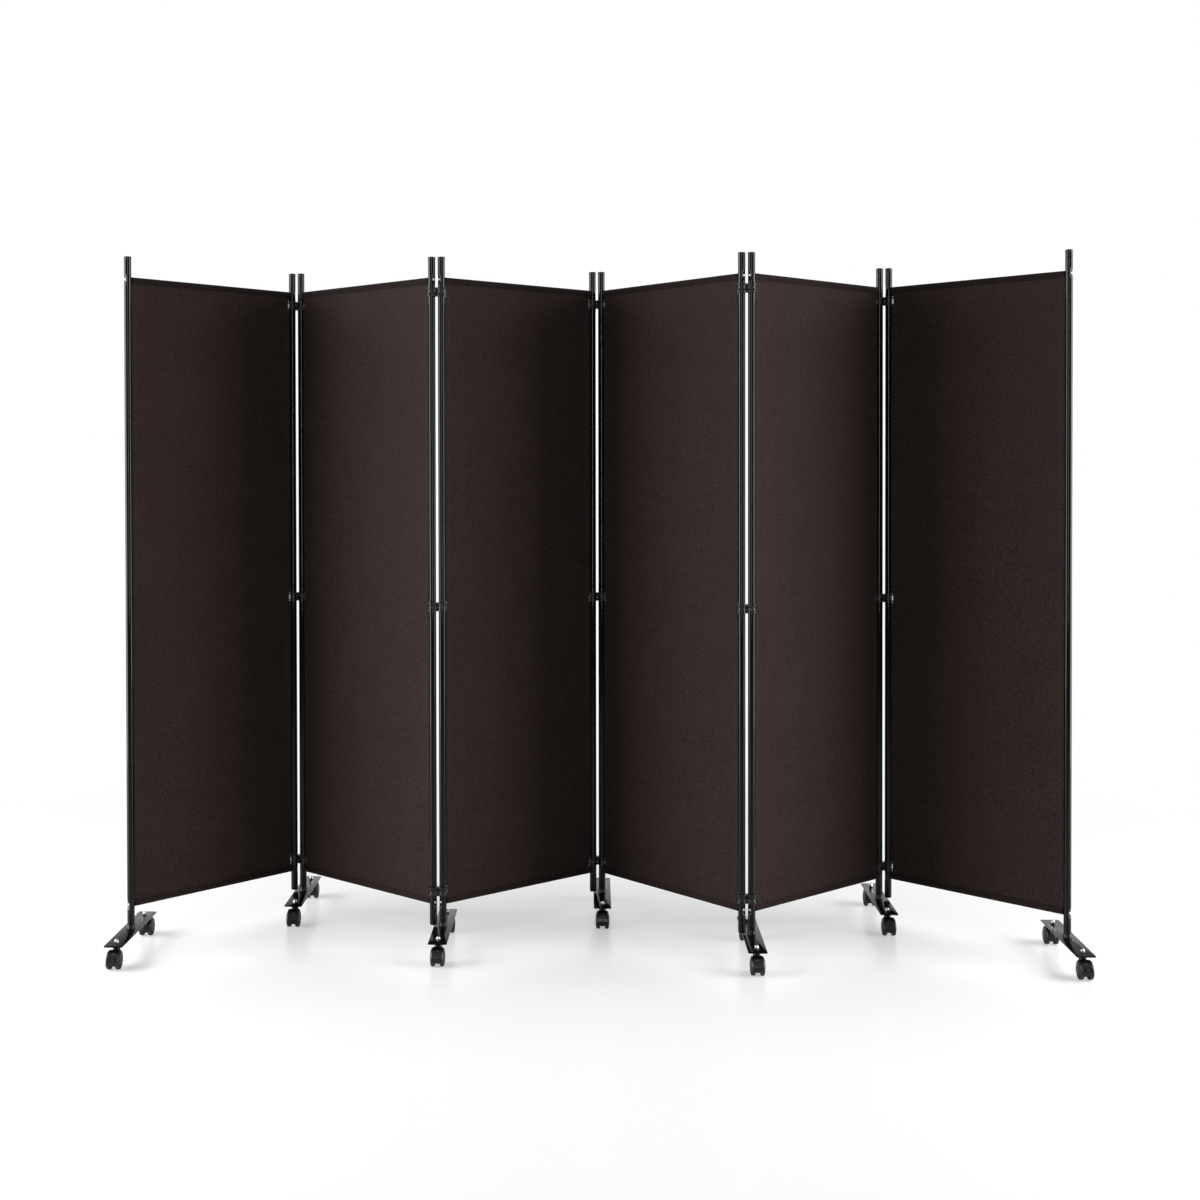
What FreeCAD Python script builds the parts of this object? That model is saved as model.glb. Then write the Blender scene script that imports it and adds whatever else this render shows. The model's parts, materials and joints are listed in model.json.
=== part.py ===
import FreeCAD
import Part
import os
import re
import Sketcher

# Rolling room divider: six fabric panels in a zigzag, twelve steel posts, five
# stations of figure-eight hinge clips, and seven foot plates on twin-wheel casters.
# X runs along the screen, Y to its back, Z up from the floor.

PANELS = 6
SIDES = ("left", "right")
# The posts that stand on a foot plate, one at each station from left to right.
FOOT_POSTS = ((1, "left"), (2, "left"), (3, "left"), (4, "left"), (5, "left"), (5, "right"), (6, "right"))
# The posts at the two ends of the screen, which no clip holds.
FREE_POSTS = ((1, "left"), (PANELS, "right"))

# Driving sizes in millimetres, and angles in degrees.
SIZES = {
    # The whole screen: 68 inches high, each panel 20 inches wide over its posts.
    "overall_height": 1727,
    "panel_width": 508,
    # The direction of each panel from its left post to its right one, from X.
    "panel_1_heading": 46,
    "panel_2_heading": -38,
    "panel_3_heading": 40,
    "panel_4_heading": -46,
    "panel_5_heading": 41,
    "panel_6_heading": -41,
    # Posts: round tubes, each closed by a flat cap at its top.
    "post_diameter": 18,
    "post_wall": 1.5,
    "post_gap": 6,
    "post_cap_thickness": 2.5,
    "short_post_lift": 4,
    # Rails: round bars across the panel, hidden in the hems of the fabric.
    "rail_diameter": 10,
    "high_rail_drop": 56,
    "low_rail_height": 117,
    # Fabric: a stretched sheet, notched beside each clip.
    "fabric_thickness": 1.6,
    "fabric_gap": 0.3,
    "notch_clearance": 0.5,
    # Hinge clips: two flanged rings round two posts, joined by a web.
    "clip_height": 22,
    "clip_diameter": 26,
    "clip_flange_height": 4.5,
    "clip_waist_diameter": 21.4,
    "clip_web_width": 12,
    "clip_clearance": 0.05,
    "high_clip_drop": 87,
    "middle_clip_height": 856,
    "low_clip_height": 144,
    # Foot plates, each with a spigot for the post, and a stud and nut for each caster.
    "plate_length": 290,
    "plate_width": 46,
    "plate_thickness": 3,
    "plate_corner_radius": 4,
    "spigot_length": 50,
    "spigot_clearance": 0.08,
    "swivel_gap": 0.3,
    "stud_inset": 30,
    "stud_diameter": 10.5,
    "stud_neck_length": 6.5,
    "stud_seat_depth": 9,
    "stud_clearance": 0.05,
    "stud_end_gap": 0.5,
    "stud_thread_diameter": 6,
    "stud_thread_drop": 1,
    "nut_flats": 10.5,
    "nut_height": 4.5,
    "nut_dome_diameter": 9.8,
    "nut_dome_height": 4.8,
    # Casters: two wheels on one axle, either side of a web under a curved hood. Beyond its straight
    # tread, each wheel's side stands out by its dome and narrows to the radius of its hub.
    "caster_height": 48,
    "caster_trail": 18,
    "wheel_diameter": 42,
    "wheel_tread_width": 8.5,
    "wheel_dome": 3,
    "wheel_hub_radius": 16,
    "wheel_side_gap": 0.5,
    "wheel_hood_gap": 1,
    "axle_diameter": 6,
    "axle_clearance": 0.05,
    "hood_wall": 2.2,
    "hood_width": 29,
    "hood_web_width": 12,
    "hood_web_radius": 15,
    "hood_boss_diameter": 18,
    "hood_skirt_drop": 6.5,
}

# Places that follow from the sizes, each a formula in the layout sheet.
PLACES = {
    "post_radius": "post_diameter / 2",
    "post_bore_radius": "post_radius - post_wall",
    "post_pitch": "panel_width - post_diameter",
    "clip_pitch": "post_diameter + post_gap",
    "plate_underside": "caster_height + stud_neck_length",
    "plate_top": "plate_underside + plate_thickness",
    "long_post_foot": "plate_top + swivel_gap",
    "short_post_foot": "plate_top + short_post_lift",
    "rail_radius": "rail_diameter / 2",
    "high_rail_height": "overall_height - high_rail_drop",
    "high_clip_height": "overall_height - high_clip_drop",
    "stud_reach": "plate_length / 2 - stud_inset",
    "stud_hole_radius": "stud_thread_diameter / 2 + stud_clearance",
    "wheel_radius": "wheel_diameter / 2",
    "well_radius": "wheel_radius + wheel_hood_gap",
    "hood_radius": "well_radius + hood_wall",
    "wheel_inner_face": "hood_web_width / 2 + wheel_side_gap",
    "wheel_rim_face": "wheel_inner_face + wheel_tread_width",
    "wheel_outer_face": "wheel_rim_face + wheel_dome",
}

CLIP_LEVELS = ("low_clip_height", "middle_clip_height", "high_clip_height")

doc = FreeCAD.newDocument("RoomDivider")
sizes = doc.addObject("Spreadsheet::Sheet", "Sizes")
layout = doc.addObject("Spreadsheet::Sheet", "Layout")
layout_names = []


def formula(text):
    """An expression in which each named size or place is read from its sheet."""

    def named(match):
        word = match.group()
        if word in SIZES:
            return "Sizes." + word
        if word in layout_names:
            return "Layout." + word
        return word

    return re.sub(r"[a-z][a-z0-9_]*", named, text)


def value(text):
    """The present value of a formula of named sizes and places."""
    return float(layout.evalExpression(formula(text)))


def add_place(name, text):
    """One more cell of the layout sheet, and its alias."""
    contents = "=" + formula(text)
    layout_names.append(name)
    row = len(layout_names)
    layout.set(f"A{row}", name)
    layout.set(f"B{row}", contents)
    layout.setAlias(f"B{row}", name)
    doc.recompute()


def fill_sheets():
    """Writes the sizes, the places that follow from them, and where each post stands."""
    for row, (name, number) in enumerate(SIZES.items(), start=1):
        sizes.set(f"A{row}", name)
        sizes.set(f"B{row}", str(number))
        sizes.setAlias(f"B{row}", name)
    doc.recompute()
    for name, text in PLACES.items():
        add_place(name, text)
    add_place("panel_1_left_x", "0")
    add_place("panel_1_left_y", "0")
    for number in range(1, PANELS + 1):
        left, right = f"panel_{number}_left", f"panel_{number}_right"
        heading = f"panel_{number}_heading"
        add_place(right + "_x", f"{left}_x + post_pitch * cos({heading})")
        add_place(right + "_y", f"{left}_y + post_pitch * sin({heading})")
        if number < PANELS:
            add_place(f"panel_{number + 1}_left_x", f"{right}_x + clip_pitch")
            add_place(f"panel_{number + 1}_left_y", f"{right}_y")
    # The origin is on the floor, in the middle of what the feet and posts reach.
    across = "; ".join(f"panel_{number}_{side}_x" for number, side in FOOT_POSTS)
    deep = "; ".join(f"panel_{number}_{side}_y" for number, side in FOOT_POSTS)
    add_place("middle_x", f"(min({across}) + max({across})) / 2")
    add_place("middle_y", f"(min({deep}) + max({deep})) / 2")


def sketch_on(body, name, plane, offset="0"):
    """A sketch on one of the body's own planes, moved along the plane's normal."""
    sketch = body.newObject("Sketcher::SketchObject", name)
    support = [item for item in body.Origin.OriginFeatures if item.Role == plane]
    sketch.AttachmentSupport = [(support[0], "")]
    sketch.MapMode = "FlatFace"
    sketch.setExpression("AttachmentOffset.Base.z", formula(offset))
    return sketch


def pin_point(sketch, geometry, end, across, up):
    """Holds one point of the sketch at two formulas from its origin."""
    for kind, text in (("DistanceX", across), ("DistanceY", up)):
        held = sketch.addConstraint(Sketcher.Constraint(kind, -1, 1, geometry, end, value(text)))
        sketch.setExpression(f"Constraints[{held}]", formula(text))


def outline(sketch, points):
    """A closed outline of straight lines through points given as pairs of formulas."""
    spots = [FreeCAD.Vector(value(across), value(up), 0) for across, up in points]
    count = len(spots)
    for index in range(count):
        sketch.addGeometry(Part.LineSegment(spots[index], spots[(index + 1) % count]), False)
    for index in range(count):
        sketch.addConstraint(Sketcher.Constraint("Coincident", index, 2, (index + 1) % count, 1))
    for index, (across, up) in enumerate(points):
        pin_point(sketch, index, 1, across, up)


def circle(sketch, radius, across="0", up="0"):
    """A circle of a given radius about a point given as a pair of formulas."""
    centre = FreeCAD.Vector(value(across), value(up), 0)
    normal = FreeCAD.Vector(0, 0, 1)
    index = sketch.addGeometry(Part.Circle(centre, normal, value(radius)), False)
    pin_point(sketch, index, 3, across, up)
    held = sketch.addConstraint(Sketcher.Constraint("Radius", index, value(radius)))
    sketch.setExpression(f"Constraints[{held}]", formula(radius))


def new_body(name):
    return doc.addObject("PartDesign::Body", name)


def pad(body, sketch, length, symmetric=False, downward=False):
    feature = body.newObject("PartDesign::Pad", sketch.Name + "Pad")
    feature.Profile = sketch
    feature.setExpression("Length", formula(length))
    feature.SideType = "Symmetric" if symmetric else "One side"
    feature.Reversed = downward
    return feature


def pocket(body, sketch, length, symmetric=False, reverse=False):
    feature = body.newObject("PartDesign::Pocket", sketch.Name + "Pocket")
    feature.Profile = sketch
    feature.setExpression("Length", formula(length))
    feature.SideType = "Symmetric" if symmetric else "One side"
    feature.Reversed = reverse
    return feature


def revolve(body, sketch, axis):
    feature = body.newObject("PartDesign::Revolution", sketch.Name + "Turn")
    feature.Profile = sketch
    feature.ReferenceAxis = (sketch, [axis])
    feature.Angle = 360
    return feature


def make_post(name, foot):
    """A post from its foot to the top of the screen, with a bore that its cap closes."""
    body = new_body(name)
    outside = sketch_on(body, name + "Outside", "XY_Plane", foot)
    circle(outside, "post_radius")
    pad(body, outside, f"overall_height - ({foot})")
    bore = sketch_on(body, name + "Bore", "XY_Plane", foot)
    circle(bore, "post_bore_radius")
    pocket(body, bore, f"overall_height - post_cap_thickness - ({foot})", reverse=True)
    return body


def make_rail():
    """A round bar that reaches from post to post."""
    body = new_body("Rail")
    section = sketch_on(body, "RailSection", "YZ_Plane", "post_radius")
    circle(section, "rail_radius")
    pad(body, section, "post_pitch - post_diameter")
    return body


def make_fabric(clipped):
    """The sheet between the posts and rails, cut back round each clip on the named sides."""
    title = "Fabric" + "".join(clipped).title()
    body = new_body(title)
    left = "post_radius + fabric_gap"
    right = f"post_pitch - ({left})"
    low = "low_rail_height + rail_radius + fabric_gap"
    high = "high_rail_height - rail_radius - fabric_gap"
    depth = "clip_diameter / 2 + notch_clearance"
    half = "clip_height / 2 + notch_clearance"
    points = [(left, low), (right, low)]
    for height in CLIP_LEVELS if "right" in clipped else ():
        inner = f"post_pitch - ({depth})"
        points += [
            (right, f"{height} - ({half})"),
            (inner, f"{height} - ({half})"),
            (inner, f"{height} + {half}"),
            (right, f"{height} + {half}"),
        ]
    points += [(right, high), (left, high)]
    for height in reversed(CLIP_LEVELS) if "left" in clipped else ():
        points += [
            (left, f"{height} + {half}"),
            (depth, f"{height} + {half}"),
            (depth, f"{height} - ({half})"),
            (left, f"{height} - ({half})"),
        ]
    face = sketch_on(body, title + "Face", "XZ_Plane")
    outline(face, points)
    pad(body, face, "fabric_thickness", symmetric=True)
    return body


def make_clip():
    """Two rings joined by a web, centred between the two posts that they hold.

    Each ring has a flange round its top and its bottom, and a waist between.
    """
    body = new_body("Clip")
    half = "clip_pitch / 2"
    web = sketch_on(body, "ClipWeb", "XY_Plane")
    outline(web, [
        (f"-{half}", "-clip_web_width / 2"),
        (half, "-clip_web_width / 2"),
        (half, "clip_web_width / 2"),
        (f"-{half}", "clip_web_width / 2"),
    ])
    pad(body, web, "clip_height", symmetric=True)
    for side, across in (("Left", f"-{half}"), ("Right", half)):
        ring = sketch_on(body, f"Clip{side}Ring", "XY_Plane")
        circle(ring, "clip_waist_diameter / 2", across)
        pad(body, ring, "clip_height", symmetric=True)
        for level, top in (("High", "clip_height / 2"), ("Low", "clip_flange_height - clip_height / 2")):
            flange = sketch_on(body, f"Clip{side}{level}Flange", "XY_Plane", top)
            circle(flange, "clip_diameter / 2", across)
            pad(body, flange, "clip_flange_height", downward=True)
    bores = sketch_on(body, "ClipBores", "XY_Plane")
    for across in (f"-{half}", half):
        circle(bores, "post_radius + clip_clearance", across)
    pocket(body, bores, "clip_height * 2", symmetric=True)
    return body


def upright_edges(shape, reach):
    """The straight upright edges of a shape that lie at least so far from its axis."""
    names = []
    for index, edge in enumerate(shape.Edges, start=1):
        box = edge.BoundBox
        upright = box.XLength + box.YLength < box.ZLength / 100
        if upright and abs(box.XMin) + abs(box.YMin) > reach:
            names.append(f"Edge{index}")
    return names


def make_plate():
    """The foot plate, with a hole for each caster's stud."""
    body = new_body("Plate")
    half_width, half_length = "plate_width / 2", "plate_length / 2"
    slab = sketch_on(body, "PlateSlab", "XY_Plane", "plate_underside")
    outline(slab, [
        (f"-{half_width}", f"-{half_length}"),
        (half_width, f"-{half_length}"),
        (half_width, half_length),
        (f"-{half_width}", half_length),
    ])
    base = pad(body, slab, "plate_thickness")
    doc.recompute()
    corners = body.newObject("PartDesign::Fillet", "PlateCorners")
    corners.Base = (base, upright_edges(base.Shape, value("plate_length / 2")))
    corners.setExpression("Radius", formula("plate_corner_radius"))
    holes = sketch_on(body, "PlateHoles", "XY_Plane", "plate_top")
    for up in ("-stud_reach", "stud_reach"):
        circle(holes, "stud_hole_radius", "0", up)
    pocket(body, holes, "plate_thickness")
    return body


def make_spigot():
    """The spigot welded to the foot plate, over which the post stands."""
    body = new_body("Spigot")
    section = sketch_on(body, "SpigotSection", "XY_Plane", "plate_top")
    circle(section, "post_bore_radius - spigot_clearance")
    pad(body, section, "spigot_length")
    return body


def make_stud():
    """A caster's stud: a neck that hangs from the plate, and a thread up through plate and nut."""
    body = new_body("Stud")
    neck = sketch_on(body, "StudNeck", "XY_Plane", "plate_underside")
    circle(neck, "stud_diameter / 2")
    pad(body, neck, "stud_neck_length + stud_seat_depth - stud_end_gap", downward=True)
    thread = sketch_on(body, "StudThread", "XY_Plane", "plate_underside")
    circle(thread, "stud_thread_diameter / 2")
    pad(body, thread, "plate_thickness + nut_height - stud_thread_drop")
    return body


def make_nut():
    """A cap nut on the stud's thread, above the plate: a hexagon, and a dome that closes its bore."""
    body = new_body("Nut")
    hexagon = sketch_on(body, "NutHexagon", "XY_Plane")
    corner = "nut_flats / 2 / cos(30)"
    points = []
    for step in range(6):
        points.append((f"{corner} * cos({60 * step})", f"{corner} * sin({60 * step})"))
    outline(hexagon, points)
    pad(body, hexagon, "nut_height")
    bore = sketch_on(body, "NutBore", "XY_Plane", "nut_height")
    circle(bore, "stud_hole_radius")
    pocket(body, bore, "nut_height")
    dome = sketch_on(body, "NutDome", "XZ_Plane")
    profile = [("0", "nut_height")]
    for turn in range(0, 91, 30):
        profile.append((f"nut_dome_diameter / 2 * cos({turn})", f"nut_height + nut_dome_height * sin({turn})"))
    outline(dome, profile)
    revolve(body, dome, "V_Axis")
    return body


def make_hood():
    """A caster's hood: a curved shell over two wheel wells, a round web between, and the stud's boss.

    The stud's axis is the body's Z axis, and the wheels trail behind it towards -Y.
    """
    body = new_body("Hood")
    skirt = "wheel_radius - hood_skirt_drop"
    shell = sketch_on(body, "HoodShell", "YZ_Plane")
    circle(shell, "hood_radius", "-caster_trail", "wheel_radius")
    pad(body, shell, "hood_width", symmetric=True)
    boss = sketch_on(body, "HoodBoss", "XY_Plane", "wheel_radius")
    circle(boss, "hood_boss_diameter / 2")
    pad(body, boss, "caster_height - wheel_radius")
    under = sketch_on(body, "HoodUnder", "YZ_Plane")
    outline(under, [
        ("-caster_trail - hood_radius * 2", skirt),
        ("-caster_trail - hood_radius * 2", "-hood_radius"),
        ("hood_radius * 2", "-hood_radius"),
        ("hood_radius * 2", skirt),
    ])
    pocket(body, under, "hood_width * 2", symmetric=True)
    web = sketch_on(body, "HoodWeb", "YZ_Plane")
    circle(web, "hood_web_radius", "-caster_trail", "wheel_radius")
    pad(body, web, "hood_web_width", symmetric=True)
    for side, reverse in (("Right", True), ("Left", False)):
        edge = "hood_web_width / 2" if reverse else "-hood_web_width / 2"
        well = sketch_on(body, f"Hood{side}Well", "YZ_Plane", edge)
        circle(well, "well_radius", "-caster_trail", "wheel_radius")
        pocket(body, well, "hood_width", reverse=reverse)
    socket = sketch_on(body, "HoodSocket", "XY_Plane", "caster_height")
    circle(socket, "stud_diameter / 2 + stud_clearance")
    pocket(body, socket, "stud_seat_depth")
    bore = sketch_on(body, "HoodAxleBore", "YZ_Plane")
    circle(bore, "axle_diameter / 2 + axle_clearance", "-caster_trail", "wheel_radius")
    pocket(body, bore, "hood_width", symmetric=True)
    return body


def make_wheels():
    """Two wheels pressed on one axle along X, which passes through the hood's web.

    Each has a straight tread under the hood, and a side that stands out beyond it.
    """
    body = new_body("Wheels")
    right = [
        ("wheel_inner_face", "axle_diameter / 2"),
        ("wheel_inner_face", "wheel_radius"),
        ("wheel_rim_face", "wheel_radius"),
        ("wheel_outer_face", "wheel_hub_radius"),
        ("wheel_outer_face", "0"),
    ]
    left = [(f"-({across})", up) for across, up in reversed(right)]
    profile = sketch_on(body, "WheelsProfile", "XZ_Plane")
    outline(profile, left + right)
    revolve(body, profile, "H_Axis")
    return body


def copy(name, piece, across="0", deep="0", up="0"):
    """One more of a piece, moved along X, Y and Z by formulas."""
    link = doc.addObject("App::Link", name)
    link.LinkedObject = piece
    for axis, text in (("x", across), ("y", deep), ("z", up)):
        link.setExpression(f"Placement.Base.{axis}", formula(text))
    return link


def node(label, pieces, across, deep, heading="0"):
    """A sub-part of one or more pieces, standing at a place of its own."""
    item = doc.addObject("Part::Compound", label)
    item.Label = label
    item.Links = pieces
    # A turn of one degree sets the axis about which the heading then turns the sub-part.
    item.Placement = FreeCAD.Placement(FreeCAD.Vector(), FreeCAD.Rotation(FreeCAD.Vector(0, 0, 1), 1))
    item.setExpression("Placement.Base.x", formula(f"{across} - middle_x"))
    item.setExpression("Placement.Base.y", formula(f"{deep} - middle_y"))
    item.setExpression("Placement.Rotation.Angle", formula(heading))
    return item


def make_post_pair(feet, posts):
    """Both posts of a panel, in which the named sides stand on a foot and the others end short."""
    pieces = []
    for side in SIDES:
        across = "0" if side == "left" else "post_pitch"
        title = "Posts" + "".join(feet).title() + side.capitalize()
        pieces.append(copy(title, posts[side in feet], across))
    return pieces


def build():
    """Makes every sub-part and returns them in order."""
    posts = {True: make_post("LongPost", "long_post_foot"), False: make_post("ShortPost", "short_post_foot")}
    rail, clip = make_rail(), make_clip()
    plate, spigot, stud, nut = make_plate(), make_spigot(), make_stud(), make_nut()
    hood, wheels = make_hood(), make_wheels()

    rails = [copy("LowRail", rail, up="low_rail_height"), copy("HighRail", rail, up="high_rail_height")]
    clips = [copy(f"Clip{level}", clip, up=height) for level, height in enumerate(CLIP_LEVELS, start=1)]
    foot = [
        plate,
        spigot,
        copy("FrontStud", stud, deep="-stud_reach"),
        copy("BackStud", stud, deep="stud_reach"),
        copy("FrontNut", nut, deep="-stud_reach", up="plate_top"),
        copy("BackNut", nut, deep="stud_reach", up="plate_top"),
    ]
    wheel_set = [copy("WheelSet", wheels, deep="-caster_trail", up="wheel_radius")]

    nodes = []
    post_pairs, fabrics = {}, {}
    for number in range(1, PANELS + 1):
        place = (f"panel_{number}_left_x", f"panel_{number}_left_y", f"panel_{number}_heading")
        feet = tuple(side for side in SIDES if (number, side) in FOOT_POSTS)
        if feet not in post_pairs:
            post_pairs[feet] = make_post_pair(feet, posts)
        nodes.append(node(f"panel_{number}_posts", post_pairs[feet], *place))
        nodes.append(node(f"panel_{number}_rails", rails, *place))
        clipped = tuple(side for side in SIDES if (number, side) not in FREE_POSTS)
        if clipped not in fabrics:
            fabrics[clipped] = make_fabric(clipped)
        nodes.append(node(f"panel_{number}_fabric", [fabrics[clipped]], *place))
    for number in range(1, PANELS):
        right = f"panel_{number}_right"
        nodes.append(node(f"clips_{number}", clips, f"{right}_x + clip_pitch / 2", f"{right}_y"))
    for number, (panel, side) in enumerate(FOOT_POSTS, start=1):
        post = f"panel_{panel}_{side}"
        nodes.append(node(f"foot_{number}", foot, post + "_x", post + "_y"))
        for order, (reach, heading) in enumerate((("-stud_reach", "0"), ("stud_reach", "180"))):
            caster = 2 * number - 1 + order
            place = (post + "_x", f"{post}_y + {reach}", heading)
            nodes.append(node(f"caster_{caster}_hood", [hood], *place))
            nodes.append(node(f"caster_{caster}_wheels", wheel_set, *place))
    doc.recompute()
    return nodes


def check(nodes):
    """Stops where a feature failed or a sub-part isn't a sound solid."""
    for item in doc.Objects:
        if "Invalid" in item.State or "Error" in item.State:
            raise RuntimeError(f"{item.Name} failed: {item.State}")
    for item in nodes:
        if item.Shape.isNull() or not item.Shape.isValid() or not item.Shape.Solids:
            raise RuntimeError(f"{item.Label} has no sound solid")


fill_sheets()
nodes = build()
check(nodes)
os.makedirs("parts", exist_ok=True)
for item in nodes:
    item.Shape.exportStep(os.path.join("parts", item.Label + ".step"))
print(len(nodes), "sub-parts,", sum(len(item.Shape.Solids) for item in nodes), "solids")
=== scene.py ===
"""Dresses the rolling room divider: posts, cloth, hinge clips, feet and casters, and their stage."""

import json
import math

import bpy
from bpy.props import FloatProperty, FloatVectorProperty, IntProperty, PointerProperty
from mathutils import Matrix, Vector, noise

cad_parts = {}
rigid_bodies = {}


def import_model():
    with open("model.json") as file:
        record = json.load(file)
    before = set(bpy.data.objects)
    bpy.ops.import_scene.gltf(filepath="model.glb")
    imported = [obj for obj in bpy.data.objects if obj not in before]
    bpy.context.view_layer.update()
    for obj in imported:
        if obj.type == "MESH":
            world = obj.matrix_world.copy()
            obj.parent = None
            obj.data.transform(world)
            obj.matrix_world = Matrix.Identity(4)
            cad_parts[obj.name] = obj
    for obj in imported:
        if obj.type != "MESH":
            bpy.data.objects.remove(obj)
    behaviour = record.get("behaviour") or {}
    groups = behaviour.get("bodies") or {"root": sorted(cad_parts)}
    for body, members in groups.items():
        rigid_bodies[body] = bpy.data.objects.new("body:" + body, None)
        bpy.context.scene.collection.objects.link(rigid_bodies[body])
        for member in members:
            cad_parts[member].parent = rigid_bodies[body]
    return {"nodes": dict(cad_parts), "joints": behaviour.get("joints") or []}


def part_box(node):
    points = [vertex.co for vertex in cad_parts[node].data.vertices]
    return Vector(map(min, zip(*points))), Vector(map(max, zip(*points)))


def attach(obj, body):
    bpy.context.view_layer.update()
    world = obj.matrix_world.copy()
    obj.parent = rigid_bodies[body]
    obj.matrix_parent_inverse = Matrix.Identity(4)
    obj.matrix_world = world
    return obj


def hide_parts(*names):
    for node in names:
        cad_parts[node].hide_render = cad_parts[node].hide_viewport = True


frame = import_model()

bl_info = {
    "name": "Rolling room divider",
    "version": (1, 0, 0),
    "blender": (4, 5, 0),
    "location": "3D View > Sidebar > Divider",
    "description": "Builds the looks of a six-panel room divider on casters round its packed frame",
    "category": "Object",
}

MM = 0.001
PANELS = range(1, 7)
STATIONS = range(1, 6)
FEET = range(1, 8)
CASTERS = range(1, 15)
SIDES = ("left", "right")
JOINTS = {joint["name"]: Vector(joint["pos_m"]) for joint in frame["joints"]}
HINGES = {frozenset((joint["parent"], joint["child"])): joint["name"] for joint in frame["joints"]}
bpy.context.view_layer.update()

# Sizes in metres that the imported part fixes.
POST_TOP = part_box("panel_1_posts")[1].z
LONG_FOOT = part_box("panel_1_posts")[0].z
PLATE_UNDERSIDE, PLATE_TOP = 54.5 * MM, 57.5 * MM
SHORT_FOOT = PLATE_TOP + 4 * MM
POST_RADIUS = 9 * MM
POST_PITCH = 490 * MM
SCREW_HEIGHTS = (117 * MM, POST_TOP - 56 * MM)
CLIP_HEIGHTS = {"low": 144 * MM, "middle": 856 * MM, "high": POST_TOP - 87 * MM}
CLIP_HALF = 11 * MM
CLIP_RADIUS = 13 * MM
RAIL_RADIUS = 5 * MM
AXLE_BEHIND, AXLE_HEIGHT = 18 * MM, 21 * MM

# How the cloth keeps clear: of a post, and of a clip sideways and upright.
EDGE_INSET = POST_RADIUS + 0.35 * MM
NOTCH_INSET = CLIP_RADIUS + 0.6 * MM
NOTCH_HALF = CLIP_HALF + 0.7 * MM

# One post stands over each of the seven feet. The other five end above the plates, hung from the clips.
LONG_POSTS = {(1, "left"), (2, "left"), (3, "left"), (4, "left"), (5, "left"), (5, "right"), (6, "right")}


# Places


def post_axis(panel, side):
    """Where a post stands, from the joint that turns about it: a clip's, or at the ends a foot's."""
    station = panel - 1 if side == "left" else panel
    if station in STATIONS:
        return JOINTS[HINGES[frozenset((f"panel_{panel}", f"clips_{station}"))]]
    return JOINTS["foot_1_turn" if side == "left" else "foot_7_turn"]


def panel_place(panel):
    """The matrix that takes a panel's own axes, from its left post to its right one, to the row frame."""
    left, right = post_axis(panel, "left"), post_axis(panel, "right")
    heading = math.atan2(right.y - left.y, right.x - left.x)
    return Matrix.Translation((left.x, left.y, 0)) @ Matrix.Rotation(heading, 4, "Z")


def posts_in_row():
    """Each post's panel, side and matrix, from left to right."""
    for panel in PANELS:
        for across, side in enumerate(SIDES):
            yield panel, side, panel_place(panel) @ Matrix.Translation((across * POST_PITCH, 0, 0))


def upright_place(joint, heading=0.0):
    """The matrix of a piece that stands on the floor about a joint's axis."""
    centre = JOINTS[joint]
    return Matrix.Translation((centre.x, centre.y, 0)) @ Matrix.Rotation(heading, 4, "Z")


def caster_place(caster):
    """The matrix of a caster, whose wheels trail behind its stem towards its own -Y."""
    return upright_place(f"caster_{caster}_swivel", 0.0 if caster % 2 else math.pi)


# Mesh making


def ease(t):
    """0 below 0 and 1 above 1, with a smooth rise between."""
    t = min(1.0, max(0.0, t))
    return t * t * (3 - 2 * t)


def spread(low, high, count):
    """Evenly spaced numbers, both ends among them."""
    return [low + (high - low) * step / (count - 1) for step in range(count)]


def circle(count):
    """The angles of evenly spaced points round a circle."""
    return [math.tau * step / count for step in range(count)]


class Shell:
    """The points and faces of one piece while it is being made."""

    def __init__(self):
        self.points = []
        self.faces = []

    def ring(self, points):
        """Adds points and gives their numbers."""
        start = len(self.points)
        self.points.extend(tuple(point) for point in points)
        return list(range(start, len(self.points)))

    def skin(self, rings, closed=False):
        """Joins each ring to the next, and if closed the last to the first."""
        pairs = list(zip(rings, rings[1:]))
        if closed:
            pairs.append((rings[-1], rings[0]))
        for low, high in pairs:
            for step in range(len(low)):
                after = (step + 1) % len(low)
                self.faces.append((low[step], low[after], high[after], high[step]))

    def solid(self, rings):
        """Joins the rings, and closes both ends by one face each."""
        self.skin(rings)
        self.faces += [tuple(reversed(rings[0])), tuple(rings[-1])]

    def wall(self, rings):
        """Joins the rings of a folded sheet, and closes both ends between its two skins."""
        self.skin(rings)
        for ring, flip in ((rings[0], True), (rings[-1], False)):
            for step in range(len(ring) // 2 - 1):
                face = (ring[step], ring[step + 1], ring[-2 - step], ring[-1 - step])
                self.faces.append(face[::-1] if flip else face)

    def lathe(self, profile, segments, centre=(0, 0, 0), closed=False):
        """Turns a profile of radius and height about an upright axis. A closed profile makes a tube."""
        rings = []
        for radius, height in profile:
            rings.append(self.ring(
                (centre[0] + radius * math.cos(a), centre[1] + radius * math.sin(a), centre[2] + height)
                for a in circle(segments)
            ))
        if closed:
            self.skin(rings, closed=True)
        else:
            self.solid(rings)

    def turned(self, matrix):
        """Moves the points by a matrix."""
        self.points = [tuple(matrix @ Vector(point)) for point in self.points]

    def mesh(self, name, finish, sharp):
        """The mesh, smooth but for the edges sharper than an angle in degrees."""
        made = bpy.data.meshes.new(name)
        made.from_pydata(self.points, [], self.faces)
        made.validate()
        made.materials.append(finish)
        made.shade_smooth()
        made.set_sharp_from_angle(angle=math.radians(sharp))
        made.update()
        return made


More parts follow.
